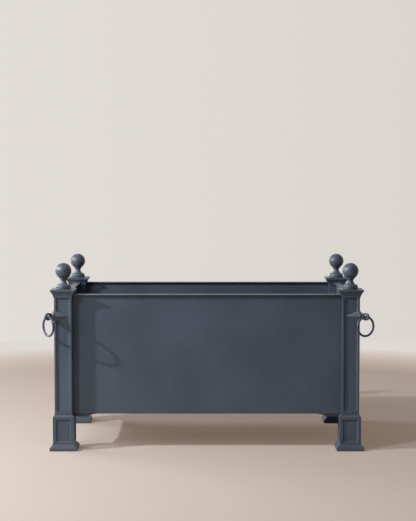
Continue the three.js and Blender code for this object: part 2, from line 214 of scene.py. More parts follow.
def round_floor():
    bm = bmesh.new()
    middle = bm.verts.new((0, 0, 0))
    turn = 4 * QUARTER / FLOOR_SIDES
    rim = [bm.verts.new((FLOOR_RADIUS * math.cos(turn * k), FLOOR_RADIUS * math.sin(turn * k), 0))
           for k in range(FLOOR_SIDES)]
    for one, two in zip(rim, rim[1:] + rim[:1]):
        bm.faces.new((middle, one, two))
    mesh = bpy.data.meshes.new("floor_disc")
    bm.to_mesh(mesh)
    bm.free()
    disc = bpy.data.objects.new("floor_disc", mesh)
    bpy.context.scene.collection.objects.link(disc)
    return disc


def seen_share(nodes, links, sheen_part):
    ray = nodes.new("ShaderNodeLightPath")
    sheen = worked(nodes, links, "MULTIPLY", ray.outputs["Is Glossy Ray"], sheen_part)
    return worked(nodes, links, "MAXIMUM", ray.outputs["Is Camera Ray"], sheen)


def floor_finish():
    material = bpy.data.materials.new("pale_floor")
    material.use_nodes = True
    nodes, links = material.node_tree.nodes, material.node_tree.links
    place = nodes.new("ShaderNodeTexCoord")
    reach = nodes.new("ShaderNodeVectorMath")
    reach.operation = "LENGTH"
    links.new(place.outputs["Object"], reach.inputs[0])
    rim = spread(nodes, links, reach.outputs["Value"], FADE_FROM, FADE_TO)
    shader = nodes["Principled BSDF"]
    split = nodes.new("ShaderNodeSeparateXYZ")
    links.new(place.outputs["Object"], split.inputs[0])
    # Painted light: the ground's colour runs lighter to the right, against the lamps' falloff.
    across = spread(nodes, links, split.outputs["X"], -GROUND_HALF, GROUND_HALF)
    links.new(blend_colour(nodes, links, across, GROUND_LEFT, GROUND_RIGHT), shader.inputs["Base Color"])
    shader.inputs["Roughness"].default_value = 0.9
    shader.inputs["Specular IOR Level"].default_value = 0.2
    even = nodes.new("ShaderNodeEmission")
    links.new(blend_colour(nodes, links, rim, GROUND_SEEN, SEEN_MIDDLE), even.inputs["Color"])
    part = spread(nodes, links, reach.outputs["Value"], FADE_FROM, FADE_TO, FLOOR_SHARE, 1.0)
    share = worked(nodes, links, "MULTIPLY", part, seen_share(nodes, links, part))
    both = blend_shader(nodes, links, share, shader.outputs[0], even.outputs[0])
    links.new(both, nodes["Material Output"].inputs["Surface"])
    return material


floor_disc = round_floor()
floor_disc.data.materials.append(floor_finish())
print(f"floor reaches {FLOOR_RADIUS} m and fades from {FADE_FROM} m")

# %% Lamps
LEFT_POST = Vector((-0.42, -0.24, 0.35))
MIDDLE = Vector((0.05, -0.2, 0.45))
LAMPS = {
    "raking_lamp": {"aim": LEFT_POST, "round": 71.3, "up": 29.5, "far": 2.6,
                    "size": (0.085, 0.085), "watts": 97},
    "front_lamp": {"aim": LEFT_POST, "round": 39, "up": 40, "far": 2.4,
                   "size": (0.08, 1.9), "watts": 37.5},
    "rim_lamp": {"aim": LEFT_POST, "round": 118, "up": 20, "far": 3.0,
                 "size": (1.6, 1.4), "watts": 66},
    "top_lamp": {"aim": MIDDLE, "round": 0, "up": 62, "far": 1.2,
                 "size": (0.6, 0.4), "watts": 1.8},
}


def hang_lamp(name, spec):
    around, up = math.radians(spec["round"]), math.radians(spec["up"])
    way = Vector((-math.sin(around) * math.cos(up), -math.cos(around) * math.cos(up), math.sin(up)))
    light = bpy.data.lights.new(name, "AREA")
    light.shape = "RECTANGLE"
    light.size, light.size_y = spec["size"]
    light.energy = spec["watts"]
    lamp = bpy.data.objects.new(name, light)
    lamp.location = spec["aim"] + way * spec["far"]
    lamp.rotation_euler = way.to_track_quat("Z", "Y").to_euler()
    lamp.visible_camera = False
    bpy.context.scene.collection.objects.link(lamp)
    return lamp


for name, spec in LAMPS.items():
    lamp = hang_lamp(name, spec)
    print(f"{name} hangs at {[round(v, 2) for v in lamp.location]}")

# %% World
ROOM_TINT = (0.84, 0.92, 1.0, 1)
ROOM_STRENGTH = 0.145
SHEEN_IN_FRONT = 0.1
SHEEN_TURN = (-0.3, 0.4)
PICTURE_HALF = 0.16


def room_light():
    world = bpy.data.worlds.new("room")
    world.use_nodes = True
    nodes, links = world.node_tree.nodes, world.node_tree.links
    fill = nodes["Background"]
    fill.inputs["Color"].default_value = ROOM_TINT
    fill.inputs["Strength"].default_value = ROOM_STRENGTH
    way = nodes.new("ShaderNodeTexCoord")
    split = nodes.new("ShaderNodeSeparateXYZ")
    links.new(way.outputs["Generated"], split.inputs[0])
    # Painted light on the backdrop: its tone grows darker from left to right across the picture.
    across = spread(nodes, links, split.outputs["X"], -PICTURE_HALF, PICTURE_HALF)
    tone = nodes.new("ShaderNodeBackground")
    links.new(blend_colour(nodes, links, across, SEEN_LEFT, SEEN_RIGHT), tone.inputs["Color"])
    behind = spread(nodes, links, split.outputs["Y"], *SHEEN_TURN, SHEEN_IN_FRONT, 1.0)
    share = seen_share(nodes, links, behind)
    both = blend_shader(nodes, links, share, fill.outputs[0], tone.outputs[0])
    links.new(both, nodes["World Output"].inputs["Surface"])
    return world


bpy.context.scene.world = room_light()
print("world strength", ROOM_STRENGTH)

# %% [markdown]
# ## Paint
#
# The real finish is a satin paint over cast and sheet aluminium. Up close it has a fine orange
# peel, and the castings under it are slightly uneven. The sheet sways slowly from end to end,
# which shows as broad light and dark patches, and the paint is a little cloudy. Thin spots on
# the arrises are lighter. What faces up is mixed towards a pale tone: partly the dust that
# settles there, and partly painted reflection for the brightness that flat tops show at a
# grazing view. One function writes that finish, and each kind of piece gets its own strengths.

# %% Helpers for a finish
# A pale tone for what faces up: partly real dust, partly painted reflection that makes flat tops
# brighter.
DUST_AND_TOP_LIGHT = (0.30, 0.31, 0.32, 1)


def noise(nodes, links, place, scale, detail=3.0, roughness=0.5):
    node = nodes.new("ShaderNodeTexNoise")
    node.inputs["Scale"].default_value = scale
    node.inputs["Detail"].default_value = detail
    node.inputs["Roughness"].default_value = roughness
    links.new(place, node.inputs["Vector"])
    return node.outputs["Fac"]


def bumps(nodes, links, heights):
    """A chain of Bump nodes, one for each (height, depth in metres) pair, and its last normal."""
    normal = None
    for height, depth in heights:
        node = nodes.new("ShaderNodeBump")
        node.inputs["Distance"].default_value = depth
        links.new(height, node.inputs["Height"])
        if normal is not None:
            links.new(normal, node.inputs["Normal"])
        normal = node.outputs["Normal"]
    return normal


# %% The slate paint
LIGHT_CLOUD = (1.12, 1.10, 1.12)
DARK_CLOUD = (0.84, 0.86, 0.86)
PEEL_DEPTH = 0.00006
ARRIS_RADIUS = 0.0018
WORN_GAIN = 1.75
SCALES = {"cloud": 5.5, "worn": 55, "dust_and_top_light": 38, "sheen": 24, "peel": 620, "casting": 85, "sway": 3.2}


def satin_paint(name, colour, roughness, casting, sway, dust_and_top_light):
    material = bpy.data.materials.new(name)
    material.use_nodes = True
    nodes, links = material.node_tree.nodes, material.node_tree.links
    place = nodes.new("ShaderNodeTexCoord").outputs["Object"]
    shader = nodes["Principled BSDF"]

    lighter = tuple(share * c for share, c in zip(LIGHT_CLOUD, colour)) + (1,)
    darker = tuple(share * c for share, c in zip(DARK_CLOUD, colour)) + (1,)
    cloud = noise(nodes, links, place, SCALES["cloud"], 5)
    body = blend_colour(nodes, links, spread(nodes, links, cloud, 0.35, 0.65, 0, 1), darker, lighter)

    arris = nodes.new("ShaderNodeBevel")
    arris.samples = 4
    arris.inputs["Radius"].default_value = ARRIS_RADIUS
    surface = nodes.new("ShaderNodeNewGeometry")
    closeness = nodes.new("ShaderNodeVectorMath")
    closeness.operation = "DOT_PRODUCT"
    links.new(arris.outputs[0], closeness.inputs[0])
    links.new(surface.outputs["Normal"], closeness.inputs[1])
    edge = spread(nodes, links, closeness.outputs["Value"], 0.97, 0.82, 0, 1)
    thin = noise(nodes, links, place, SCALES["worn"], 4)
    patchy = spread(nodes, links, thin, 0.40, 0.68, 0.1, 0.55)
    worn = tuple(min(1.0, WORN_GAIN * c) for c in colour) + (1,)
    body = blend_colour(nodes, links, worked(nodes, links, "MULTIPLY", edge, patchy), body, worn)

    split = nodes.new("ShaderNodeSeparateXYZ")
    links.new(surface.outputs["Normal"], split.inputs[0])
    # Upward faces go towards the pale tone in patches: dust, together with painted reflection on the
    # tops.
    facing_up = spread(nodes, links, split.outputs["Z"], 0.9, 1.0, 0, dust_and_top_light)
    top_noise = noise(nodes, links, place, SCALES["dust_and_top_light"], 5, 0.65)
    top_patches = spread(nodes, links, top_noise, 0.35, 0.7, 0.25, 1)
    body = blend_colour(nodes, links, worked(nodes, links, "MULTIPLY", facing_up, top_patches), body, DUST_AND_TOP_LIGHT)
    links.new(body, shader.inputs["Base Color"])

    sheen = noise(nodes, links, place, SCALES["sheen"], 4)
    dull = spread(nodes, links, sheen, 0.3, 0.7, roughness - 0.03, roughness + 0.04)
    links.new(dull, shader.inputs["Roughness"])
    shader.inputs["Specular IOR Level"].default_value = 0.5
    peel = noise(nodes, links, place, SCALES["peel"], 2)
    uneven = noise(nodes, links, place, SCALES["casting"], 3)
    slow = noise(nodes, links, place, SCALES["sway"], 2)
    relief = [(slow, sway), (uneven, casting), (peel, PEEL_DEPTH)]
    links.new(bumps(nodes, links, relief), shader.inputs["Normal"])
    return material


SLATE = (0.052, 0.068, 0.093)
cast_paint = satin_paint("satin_paint_on_casting", SLATE, 0.43, 0.00032, 0.0003, 0.42)
sheet_slate = tuple(0.97 * c for c in SLATE)
sheet_paint = satin_paint("satin_paint_on_sheet", sheet_slate, 0.42, 0.00006, 0.006, 0.30)
ring_slate = tuple(0.88 * c for c in SLATE)
ring_paint = satin_paint("satin_paint_on_ring", ring_slate, 0.36, 0.00035, 0.0, 0.10)
print("three paints:", ", ".join(m.name for m in (cast_paint, sheet_paint, ring_paint)))

# %% [markdown]
# ## Zinc plate
#
# The tie rods, their nuts and the screws of the floor are plated steel. Plating shows faint
# crystal patches and a soft sheen, so its roughness and colour drift on a cell pattern.


# %% Zinc plate
def zinc_plate():
    material = bpy.data.materials.new("zinc_plate")
    material.use_nodes = True
    nodes, links = material.node_tree.nodes, material.node_tree.links
    place = nodes.new("ShaderNodeTexCoord").outputs["Object"]
    cells = nodes.new("ShaderNodeTexVoronoi")
    cells.inputs["Scale"].default_value = 210
    links.new(place, cells.inputs["Vector"])
    grain = nodes.new("ShaderNodeSeparateColor")
    links.new(cells.outputs["Color"], grain.inputs[0])
    shader = nodes["Principled BSDF"]
    shader.inputs["Metallic"].default_value = 1.0
    tone = blend_colour(nodes, links, grain.outputs[0], (0.40, 0.41, 0.42, 1), (0.52, 0.53, 0.54, 1))
    links.new(tone, shader.inputs["Base Color"])
    links.new(spread(nodes, links, grain.outputs[1], 0, 1, 0.30, 0.48), shader.inputs["Roughness"])
    links.new(bumps(nodes, links, [(noise(nodes, links, place, 400), 0.00004)]), shader.inputs["Normal"])
    return material


zinc = zinc_plate()
print("plated steel:", zinc.name)

# %% [markdown]
# ## Making and placing a mesh
#
# Every piece is made about a post's axis or along a side, in millimetres. Putting it in place
# moves its points, so the object itself stays at the origin. A narrow bevel on the arrises
# catches the light as the thick paint on a real casting does.


# %% Mesh helpers
ARRIS_ANGLE = math.radians(32)


def smooth_by_angle(mesh):
    mesh.shade_smooth()
    mesh.set_sharp_from_angle(angle=ARRIS_ANGLE)


def mesh_of(name, bm):
    bmesh.ops.recalc_face_normals(bm, faces=bm.faces)
    mesh = bpy.data.meshes.new(name)
    bm.to_mesh(mesh)
    bm.free()
    return mesh


def put(name, mesh, place):
    """A copy of the mesh as an object, its points moved to their place and into metres."""
    copy = mesh.copy()
    copy.transform(place @ Matrix.Scale(MM, 4))
    smooth_by_angle(copy)
    piece = bpy.data.objects.new(name, copy)
    bpy.context.scene.collection.objects.link(piece)
    return piece


def soften(piece, width, steps=2):
    bevel = piece.modifiers.new("arrises", "BEVEL")
    bevel.width = width * MM
    bevel.segments = steps
    bevel.limit_method = "ANGLE"
    bevel.angle_limit = ARRIS_ANGLE
    bevel.harden_normals = True
    return piece


def dress(piece, material, slot, body, *nodes):
    piece.data.materials.clear()
    piece.data.materials.append(material)
    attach(piece, body)
    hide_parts(*nodes)
    return piece


def finished(obj):
    """The object's mesh with its modifiers worked in."""
    graph = bpy.context.evaluated_depsgraph_get()
    return bpy.data.meshes.new_from_object(obj.evaluated_get(graph))


def carve(name, mesh, tools, operation="DIFFERENCE"):
    """The mesh with each tool mesh cut from it or joined to it."""
    for tool_mesh in tools:
        target = bpy.data.objects.new(name, mesh)
        tool = bpy.data.objects.new("tool", tool_mesh)
        for obj in (target, tool):
            bpy.context.scene.collection.objects.link(obj)
        cut = target.modifiers.new("cut", "BOOLEAN")
        cut.operation = operation
        cut.object = tool
        cut.solver = "EXACT"
        mesh = finished(target)
        bpy.data.objects.remove(target)
        bpy.data.objects.remove(tool)
    return mesh


# %% [markdown]
# ## Curves for mouldings
#
# A moulding is one profile run round a square with mitred corners. Its hollows and rounds are
# quarter ellipses, which a small helper draws with enough points to look smooth.


# %% Profile helpers
def sweep_of(centre, reach, rise, start, end, steps):
    points = []
    for i in range(steps + 1):
        angle = math.radians(start + (end - start) * i / steps)
        points.append((centre[0] + reach * math.cos(angle), centre[1] + rise * math.sin(angle)))
    return points


def hollow_between(start, end, sweep, steps):
    """A hollow that rises from one point to another and turns through an angle in degrees."""
    run, rise = end[0] - start[0], end[1] - start[1]
    radius = math.hypot(run, rise) / 2 / math.sin(math.radians(sweep / 2))
    heading = math.atan2(rise, run) + math.radians(sweep / 2)
    centre = (start[0] + radius * math.sin(heading), start[1] - radius * math.cos(heading))
    first = math.degrees(heading) + 90
    return sweep_of(centre, radius, radius, first, first - sweep, steps)


def square_ring(bm, half, line, height):
    """Twelve points round a square: its corners, and two lines down each face."""
    ring = []
    for turn in range(4):
        about = Matrix.Rotation(turn * QUARTER, 3, "Z")
        ring += [bm.verts.new(about @ Vector((x, -half, height))) for x in (-half, -line, line)]
    return ring


def skin(bm, rings):
    """Faces between each ring and the next, as one list for each band."""
    bands = []
    for low, high in zip(rings, rings[1:]):
        count = len(low)
        bands.append([
            bm.faces.new((low[i], low[(i + 1) % count], high[(i + 1) % count], high[i]))
            for i in range(count)
        ])
    return bands


def sink(bm, faces, slope, depth):
    bmesh.ops.recalc_face_normals(bm, faces=bm.faces)
    bmesh.ops.inset_individual(bm, faces=faces, thickness=slope, depth=-depth)


def block(low, high):
    bm = bmesh.new()
    middle = [(a + b) / 2 for a, b in zip(low, high)]
    size = [b - a for a, b in zip(low, high)]
    bmesh.ops.create_cube(bm, size=1, matrix=Matrix.Translation(middle) @ Matrix.Diagonal((*size, 1)))
    return mesh_of("block", bm)


# %% [markdown]
# ## Feet
#
# A foot is a square plinth block on a flared sole. From the ground up the sole has a thin lip,
# a rounded shoulder, a narrow step and a hollow that runs into the block. All four faces of the
# block have a sunk panel with sloped sides, and a sloped ledge leads in to the shaft. Below,
# the casting is hollow, so it stands on a rim.

# %% Feet
PLINTH_HALF = 31.0
SHOULDER = SOLE_HALF - 4
LIP, SHOULDER_RISE, STEP, HOLLOW_RISE = 5.0, 7.0, 2.0, 7.0
FOOT_PANEL = {"half": 24.5, "low": 25.0, "high": FOOT_TOP - 12.5, "slope": 4.0, "depth": 3.0}
LEDGE = {"drop": 5.0, "inset": 4.0}
POCKET = {"mouth": 23.0, "roof": 19.0, "height": FOOT_TOP - 30}
MOULDING_STEPS = 10


def foot_mesh():
    lip = [(SOLE_HALF, 0.0)]
    shoulder = sweep_of((SHOULDER, LIP), SOLE_HALF - SHOULDER, SHOULDER_RISE, 0, 90, MOULDING_STEPS)
    block_low = LIP + SHOULDER_RISE + STEP + HOLLOW_RISE
    hollow = sweep_of(
        (SHOULDER, block_low), SHOULDER - PLINTH_HALF, HOLLOW_RISE, 270, 180, MOULDING_STEPS
    )
    ledge_low = FOOT_TOP - LEDGE["drop"]
    block_lines = [(PLINTH_HALF, z) for z in (FOOT_PANEL["low"], FOOT_PANEL["high"], ledge_low)]
    top = [(PLINTH_HALF - LEDGE["inset"], FOOT_TOP), (18.0, FOOT_TOP)]
    profile = lip + shoulder + hollow + block_lines + top
    bm = bmesh.new()
    line = FOOT_PANEL["half"]
    rings = [square_ring(bm, half, min(line, half * 0.7), z) for half, z in profile]
    bands = skin(bm, rings)
    inside = ((POCKET["mouth"], 0.0), (POCKET["roof"], POCKET["height"]))
    pocket = [square_ring(bm, half, half * 0.6, z) for half, z in inside]
    skin(bm, [rings[0], *pocket])
    bm.faces.new(pocket[-1])
    bm.faces.new(rings[-1])
    panel_band = len(lip) + len(shoulder) + len(hollow)
    sunk = [bands[panel_band][i] for i in (1, 4, 7, 10)]
    sink(bm, sunk, FOOT_PANEL["slope"], FOOT_PANEL["depth"])
    return mesh_of("foot", bm)


foot = foot_mesh()
for corner in CORNERS:
    piece = soften(put(f"foot_{corner}", foot, corner_place(corner)), 0.7)
    dress(piece, cast_paint, "cast_paint", "planter", f"{corner}_foot")
print(f"foot: {len(foot.polygons)} faces")

# %% [markdown]
# ## Shafts
#
# The shaft is a hollow square column. Its two outer faces have a long sunk panel, and its two
# inner faces have a slot for the ends of the sheet panels. The section is drawn once as an
# outline and drawn up through four heights, so the sunk faces are single faces to push in.

# %% Shafts
SLOT = {"half": 3.0, "floor": SHAFT_HALF - 6}
SHAFT_PANEL = {"half": 19.5, "low": 113.5, "high": SHAFT_TOP - 1, "slope": 3.5,
               "sill": 6.0, "depth": 3.0}
BORE_HALF = 17.5


def shaft_section():
    h, line, g, d = SHAFT_HALF, SHAFT_PANEL["half"], SLOT["half"], SLOT["floor"]
    front = [(-h, -h), (-line, -h), (line, -h)]
    right = [(h, -h), (h, -g), (d, -g), (d, g), (h, g)]
    back = [(h, h), (g, h), (g, d), (-g, d), (-g, h)]
    left = [(-h, h), (-h, line), (-h, -line)]
    return front + right + back + left


def shaft_mesh():
    section = shaft_section()
    bm = bmesh.new()
    heights = (SHAFT_LOW, SHAFT_PANEL["low"], SHAFT_PANEL["high"], SHAFT_TOP)
    rings = [[bm.verts.new((x, y, z)) for x, y in section] for z in heights]
    bands = skin(bm, rings)
    bore = [(-BORE_HALF, -BORE_HALF), (BORE_HALF, -BORE_HALF),
            (BORE_HALF, BORE_HALF), (-BORE_HALF, BORE_HALF)]
    inner = [[bm.verts.new((x, y, z)) for x, y in bore] for z in (SHAFT_LOW, SHAFT_TOP)]
    skin(bm, inner)
    for outline, hole in ((rings[0], inner[0]), (rings[-1], inner[1])):
        edges = [bm.edges.get((a, b)) for a, b in zip(outline, outline[1:] + outline[:1])]
        edges += [bm.edges.get((a, b)) for a, b in zip(hole, hole[1:] + hole[:1])]
        bmesh.ops.triangle_fill(bm, edges=edges, use_beauty=True)
    sunk = [bands[1][1], bands[1][-2]]
    sink(bm, sunk, SHAFT_PANEL["slope"], SHAFT_PANEL["depth"])
    for face in sunk:
        lowest = min(vert.co.z for vert in face.verts)
        for vert in face.verts:
            if vert.co.z < lowest + 1:
                vert.co.z = SHAFT_PANEL["low"] + SHAFT_PANEL["sill"]
    return mesh_of("shaft", bm)


shaft = shaft_mesh()
for corner in CORNERS:
    piece = soften(put(f"shaft_{corner}", shaft, corner_place(corner)), 0.6)
    dress(piece, cast_paint, "cast_paint", "planter", f"{corner}_shaft")
print(f"shaft: {len(shaft.polygons)} faces, {SHAFT_TOP - SHAFT_LOW:.1f} mm long")

# %% [markdown]
# ## Caps
#
# The cap is a flat slab on one shallow hollow moulding, which sweeps out from a short neck. Two
# notches on the inner faces take the panels and the flat bars.

# %% Caps
CAP = {"neck": 27.0, "neck_height": 2.0, "edge_height": 5.0, "sweep": 30.0}


def cap_mesh():
    neck, lip = CAP["neck"], (CAP_HALF, CAP_TOP - CAP["edge_height"])
    hollow = hollow_between((neck, CAP_LOW + CAP["neck_height"]), lip, CAP["sweep"], MOULDING_STEPS)
    profile = [(neck, CAP_LOW), *hollow, (CAP_HALF, CAP_TOP)]
    bm = bmesh.new()
    rings = [square_ring(bm, half, half * 0.6, z) for half, z in profile]
    skin(bm, rings)
    bm.faces.new(rings[0])
    bm.faces.new(rings[-1])
    cap = mesh_of("cap", bm)
    panel_notch = ((SLOT["floor"], -3.0, CAP_LOW - 1), (CAP_HALF + 1, 3.0, PANEL_TOP + GAP))
    bar_notch = ((SHAFT_HALF, -10.3, PANEL_TOP), (CAP_HALF + 1, 10.3, BAR_TOP + GAP))
    notches = []
    for turn in (0, QUARTER):
        for low, high in (panel_notch, bar_notch):
            notch = block(low, high)
            notch.transform(Matrix.Rotation(turn, 4, "Z"))
            notches.append(notch)
    return carve("cap", cap, notches)


cap = cap_mesh()
for corner in CORNERS:
    piece = soften(put(f"cap_{corner}", cap, corner_place(corner)), 1.0)
    dress(piece, cast_paint, "cast_paint", "planter", f"{corner}_cap")
print(f"cap: {len(cap.polygons)} faces")

# %% [markdown]
# ## Ball finials
#
# The finial is turned: two beads, a rounded shoulder, and a waist that draws in to a narrow band
# and opens again to carry the ball, with a fine collar where it meets the ball. A profile is
# spun in one full turn, and each pole is one point.

# %% Ball finials
BALL_RADIUS = 23.4
BALL_FOOT = 13.4
BEAD = {"radius": 22.6, "height": 3.6}
FINIAL_SHOULDER = {"radius": 21.2, "top": 15.6, "height": 6.4}
WAIST = {"stem": 13.6, "radius": 8.2, "rise": 24.0, "band": 1.4, "sweep": 24.0}
COLLAR = {"radius": 12.5, "height": 2.0, "rise": 30.3}
FINIAL_STEPS = 72


def bead_line(radius, low, height, steps=10):
    half = height / 2
    return sweep_of((radius - half, low + half), half, half, -90, 90, steps)


def finial_profile():
    z = FINIAL_LOW
    beads = bead_line(BEAD["radius"], z, BEAD["height"])
    beads += bead_line(BEAD["radius"], z + BEAD["height"], BEAD["height"])[1:]
    low = z + 2 * BEAD["height"]
    reach = FINIAL_SHOULDER["radius"] - FINIAL_SHOULDER["top"]
    shoulder = sweep_of((FINIAL_SHOULDER["top"], low), reach, FINIAL_SHOULDER["height"], 0, 90, 12)
    stem = (WAIST["stem"], low + FINIAL_SHOULDER["height"])
    under, over = (z + WAIST["rise"] + side * WAIST["band"] / 2 for side in (-1, 1))
    centre = FINIAL_TOP - BALL_RADIUS
    foot_angle = -math.acos(BALL_FOOT / BALL_RADIUS)
    taper_top = (BALL_FOOT, centre + BALL_RADIUS * math.sin(foot_angle))
    waist = hollow_between(stem, (WAIST["radius"], under), WAIST["sweep"], 10)
    taper = hollow_between((WAIST["radius"], over), taper_top, WAIST["sweep"], 24)
    collar = bead_line(COLLAR["radius"], z + COLLAR["rise"], COLLAR["height"])
    waist += [point for point in taper if point[1] < collar[0][1] - 0.2] + collar
    waist += [point for point in taper if point[1] > collar[-1][1] + 0.2]
    ball = sweep_of((0, centre), BALL_RADIUS, BALL_RADIUS, math.degrees(foot_angle), 90, 36)
    return [(0, z), *beads, *shoulder, *waist, *ball[1:-1], (0, FINIAL_TOP)]


def turned(profile, steps):
    bm = bmesh.new()
    rings = []
    for radius, z in profile:
        if radius < 1e-6:
            rings.append([bm.verts.new((0, 0, z))])
            continue
        angles = [2 * math.pi * i / steps for i in range(steps)]
        rings.append([bm.verts.new((radius * math.cos(a), radius * math.sin(a), z)) for a in angles])
    for low, high in zip(rings, rings[1:]):
        for i in range(steps):
            j = (i + 1) % steps
            corners = [low[i % len(low)], low[j % len(low)], high[j % len(high)], high[i % len(high)]]
            bm.faces.new(list(dict.fromkeys(corners)))
    return mesh_of("turned", bm)


finial = turned(finial_profile(), FINIAL_STEPS)
for corner in CORNERS:
    piece = put(f"finial_{corner}", finial, corner_place(corner))
    dress(piece, cast_paint, "cast_paint", "planter", f"{corner}_finial")
print(f"finial: {len(finial.polygons)} faces, top at {FINIAL_TOP:.1f} mm")

# %% [markdown]
# ## Ring bosses
#
# A blunt four-sided pyramid sits over the outer corner of each post. Its ridges run from the
# small outer end to a point on each outer face and to two points on the corner. A thick bead
# closes the end, and a long upright eye grows out of it. The pyramid is the hull of nine points
# with the post cut away, and bead and eye are joined to it, so the boss is one casting.

# %% Ring bosses
BOSS = {"drop": 53.2, "half": 17.0, "side": 42.0, "length": 6.0, "end": 9.0}
EYE = {"reach": 21.0, "hole": 4.2, "rim": 7.0, "thick": 8.6, "stretch": 1.25}
NECK = {"radius": 5.5, "bead": 10.0, "bead_width": 4.0}
BOSS_Z = SHAFT_TOP - BOSS["drop"]
CORNER_REACH = SHAFT_HALF * math.sqrt(2)
PIVOT_REACH = CORNER_REACH + EYE["reach"]
OUTWARD = Matrix.Rotation(math.radians(225), 4, "Z")


def boss_mesh():
    z, corner = BOSS_Z, -SHAFT_HALF
    sunk, side = corner + SHAFT_PANEL["depth"], corner + BOSS["side"]
    end = -(CORNER_REACH + BOSS["length"]) / math.sqrt(2)
    half = BOSS["end"] / math.sqrt(2)
    points = [(end, end, z + BOSS["end"]), (end, end, z - BOSS["end"])]
    points += [(end + half, end - half, z), (end - half, end + half, z)]
    points += [(corner, corner, z + BOSS["half"]), (corner, corner, z - BOSS["half"])]
    points += [(side, sunk, z), (sunk, side, z), (0, 0, z)]
    bm = bmesh.new()
    for point in points:
        bm.verts.new(point)
    bmesh.ops.convex_hull(bm, input=bm.verts)
    pyramid = mesh_of("pyramid", bm)
    plain = bmesh.new()
    h, line, d = SHAFT_HALF + GAP, SHAFT_PANEL["half"] - GAP, SHAFT_HALF - SHAFT_PANEL["depth"] + GAP
    run = line - SHAFT_PANEL["slope"]
    outline = [(h, -h), (h, h), (-h, h), (-h, line), (-d, run), (-d, -run), (-h, -line)]
    outline += [(-h, -h), (-line, -h), (-run, -d), (run, -d), (line, -h)]
    rings = [[plain.verts.new((x, y, z + dz)) for x, y in outline] for dz in (-30, 30)]
    skin(plain, rings)
    for ring in rings:
        plain.faces.new(ring)
    return carve("pyramid", pyramid, [mesh_of("post", plain)])


def eye_and_neck():
    middle = EYE["hole"] + EYE["rim"] / 2
    neck_end = PIVOT_REACH - middle * EYE["stretch"]
    half = NECK["bead_width"] / 2
    bead_at = CORNER_REACH + BOSS["length"] + half
    bead = sweep_of((NECK["radius"], bead_at), NECK["bead"] - NECK["radius"], half, -90, 90, 12)
    start = CORNER_REACH + 2
    profile = [(0, start), (NECK["radius"], start), *bead, (NECK["radius"], neck_end), (0, neck_end)]
    neck = turned(profile, 36)
    lay = OUTWARD @ Matrix.Translation((0, 0, BOSS_Z)) @ Matrix.Rotation(QUARTER, 4, "Y")
    neck.transform(lay)
    section = sweep_of((middle, 0), EYE["rim"] / 2, EYE["thick"] / 2, 0, 360, 20)[:-1]
    bm = bmesh.new()
    hoops = []
    for i in range(48):
        a = 2 * math.pi * i / 48
        across, up = EYE["stretch"] * math.cos(a), math.sin(a)
        hoops.append([bm.verts.new((r * across, t, r * up)) for r, t in section])
    skin(bm, [*hoops, hoops[0]])
    eye = mesh_of("eye", bm)
    eye.transform(OUTWARD @ Matrix.Translation((PIVOT_REACH, 0, BOSS_Z)))
    return [neck, eye]


pyramid = boss_mesh()
boss = carve("boss", pyramid, eye_and_neck(), "UNION")
for corner in CORNERS:
    piece = put(f"ring_boss_{corner}", boss, corner_place(corner))
    dress(piece, cast_paint, "cast_paint", "planter", f"{corner}_ring_boss")
print(f"ring boss: {len(boss.polygons)} faces, eye centre {PIVOT_REACH:.1f} mm from the post's axis")

# %% [markdown]
# ## Hanging rings
#
# Each ring is a round bar bent to a circle, and it hangs in the eye by its own weight. The
# shape follows a rule, so Geometry Nodes make it: a circle is given a round section, and a
# little noise pushes the surface in and out as hammering leaves it. The result becomes a plain
# mesh, hung on its joint's pivot.


# %% Hanging rings
RING_SIZES = {"Ring Radius": 0.0277, "Bar Radius": 0.00325, "Hammering": 0.00025}
HAMMER_SCALE = 90
HAMMER_MIDDLE = 0.62


def ring_tree(material):
    tree = bpy.data.node_groups.new("hammered_ring", "GeometryNodeTree")
    face = tree.interface
    face.new_socket("Geometry", in_out="INPUT", socket_type="NodeSocketGeometry")
    for name, value in RING_SIZES.items():
        face.new_socket(name, in_out="INPUT", socket_type="NodeSocketFloat").default_value = value
    face.new_socket("Geometry", in_out="OUTPUT", socket_type="NodeSocketGeometry")
    nodes, links = tree.nodes, tree.links
    given, result = nodes.new("NodeGroupInput"), nodes.new("NodeGroupOutput")
    hoop = nodes.new("GeometryNodeCurvePrimitiveCircle")
    hoop.inputs["Resolution"].default_value = 96
    section = nodes.new("GeometryNodeCurvePrimitiveCircle")
    section.inputs["Resolution"].default_value = 24
    bar = nodes.new("GeometryNodeCurveToMesh")
    links.new(given.outputs["Ring Radius"], hoop.inputs["Radius"])
    links.new(given.outputs["Bar Radius"], section.inputs["Radius"])
    links.new(hoop.outputs["Curve"], bar.inputs["Curve"])
    links.new(section.outputs["Curve"], bar.inputs["Profile Curve"])
    uneven = nodes.new("ShaderNodeTexNoise")
    uneven.inputs["Scale"].default_value = HAMMER_SCALE
    centred = nodes.new("ShaderNodeMath")
    centred.operation = "SUBTRACT"
    centred.inputs[1].default_value = HAMMER_MIDDLE
    push = nodes.new("ShaderNodeMath")
    push.operation = "MULTIPLY"
    outward = nodes.new("GeometryNodeInputNormal")
    offset = nodes.new("ShaderNodeVectorMath")
    offset.operation = "SCALE"
    move = nodes.new("GeometryNodeSetPosition")
    links.new(uneven.outputs["Fac"], centred.inputs[0])
    links.new(centred.outputs[0], push.inputs[0])
    links.new(given.outputs["Hammering"], push.inputs[1])
    links.new(outward.outputs["Normal"], offset.inputs[0])
    links.new(push.outputs[0], offset.inputs["Scale"])
    links.new(bar.outputs["Mesh"], move.inputs["Geometry"])
    links.new(offset.outputs[0], move.inputs["Offset"])
    realize = nodes.new("GeometryNodeRealizeInstances")
    finish = nodes.new("GeometryNodeSetMaterial")
    finish.inputs["Material"].default_value = material
    links.new(move.outputs["Geometry"], realize.inputs["Geometry"])
    links.new(realize.outputs["Geometry"], finish.inputs["Geometry"])
    links.new(finish.outputs["Geometry"], result.inputs["Geometry"])
    return tree


